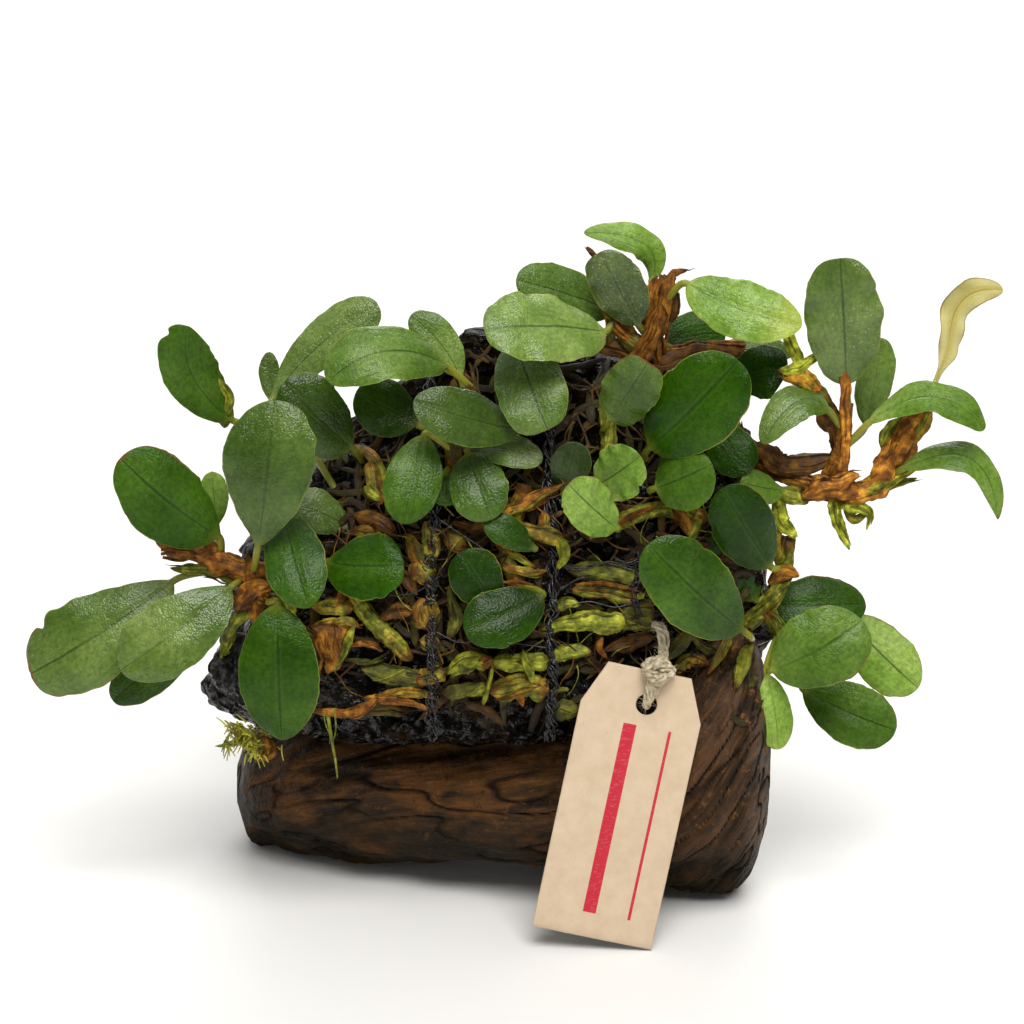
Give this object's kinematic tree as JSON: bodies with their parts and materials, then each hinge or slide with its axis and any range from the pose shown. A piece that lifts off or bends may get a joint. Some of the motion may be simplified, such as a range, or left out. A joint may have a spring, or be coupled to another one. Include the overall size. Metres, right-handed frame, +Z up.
{
  "type": "bucephalandra on driftwood",
  "caption": "Epiphytic aquarium plant with rosettes of wavy green leaves on creeping stems, tied with net thread to a piece of driftwood, with a blank card tag on twine.",
  "frame": {"origin": "on the ground, under the middle of the whole piece's outline box", "axes": "+X runs along the log to the right in the front view, +Y to the back and +Z up"},
  "size_m": [0.2307, 0.1042, 0.1636],
  "materials": {
    "wood_brown": "satin",
    "wood_dark": "satin",
    "leaf_deep_green": "satin",
    "leaf_fresh_green": "satin",
    "leaf_grey_green": "satin",
    "leaf_dark_green": "satin",
    "leaf_pale": "satin",
    "stem_rust": "satin",
    "stem_olive": "satin",
    "stem_brown": "satin",
    "net_thread": "satin",
    "card": "matte",
    "twine": "matte"
  },
  "bodies": {
    "root": {"crown_top": "stem_rust", "driftwood_log": "wood_brown", "driftwood_upper": "wood_dark", "hang_tag": "card", "leaf_left_1": "leaf_deep_green", "leaf_left_2": "leaf_grey_green", "leaf_left_3": "leaf_deep_green", "leaf_left_4": "leaf_deep_green", "leaf_left_5": "leaf_grey_green", "leaf_left_6": "leaf_deep_green", "leaf_left_7": "leaf_deep_green", "leaf_low_right_1": "leaf_dark_green", "leaf_low_right_2": "leaf_deep_green", "leaf_low_right_3": "leaf_deep_green", "leaf_low_right_4": "leaf_fresh_green", "leaf_low_right_5": "leaf_fresh_green", "leaf_low_right_6": "leaf_deep_green", "leaf_middle_1": "leaf_deep_green", "leaf_middle_2": "leaf_fresh_green", "leaf_middle_3": "leaf_fresh_green", "leaf_middle_4": "leaf_dark_green", "leaf_middle_5": "leaf_deep_green", "leaf_right_1": "leaf_fresh_green", "leaf_right_2": "leaf_grey_green", "leaf_right_3": "leaf_fresh_green", "leaf_right_4": "leaf_fresh_green", "leaf_right_5": "leaf_pale", "leaf_right_6": "leaf_fresh_green", "leaf_top_1": "leaf_deep_green", "leaf_top_2": "leaf_fresh_green", "leaf_top_3": "leaf_grey_green", "leaf_top_4": "leaf_fresh_green", "leaf_top_5": "leaf_fresh_green", "leaf_top_6": "leaf_deep_green", "leaf_top_7": "leaf_deep_green", "leaf_top_8": "leaf_deep_green", "leaf_top_left_1": "leaf_fresh_green", "leaf_top_left_2": "leaf_grey_green", "leaf_top_left_3": "leaf_deep_green", "leaf_top_left_4": "leaf_deep_green", "leaf_upper_left_1": "leaf_deep_green", "leaf_upper_left_2": "leaf_grey_green", "leaf_upper_left_3": "leaf_deep_green", "net_left": "net_thread", "net_middle": "net_thread", "rhizome_back_left": "stem_olive", "rhizome_back_middle": "stem_olive", "rhizome_back_right": "stem_olive", "rhizome_left": "stem_rust", "rhizome_middle": "stem_olive", "rhizome_middle_right": "stem_olive", "rhizome_right": "stem_rust", "rhizome_right_low": "stem_olive", "rhizome_top_left": "stem_brown", "rhizome_upper_left": "stem_brown", "stem_front": "stem_olive", "tag_twine": "twine"}
  },
  "joints": []
}
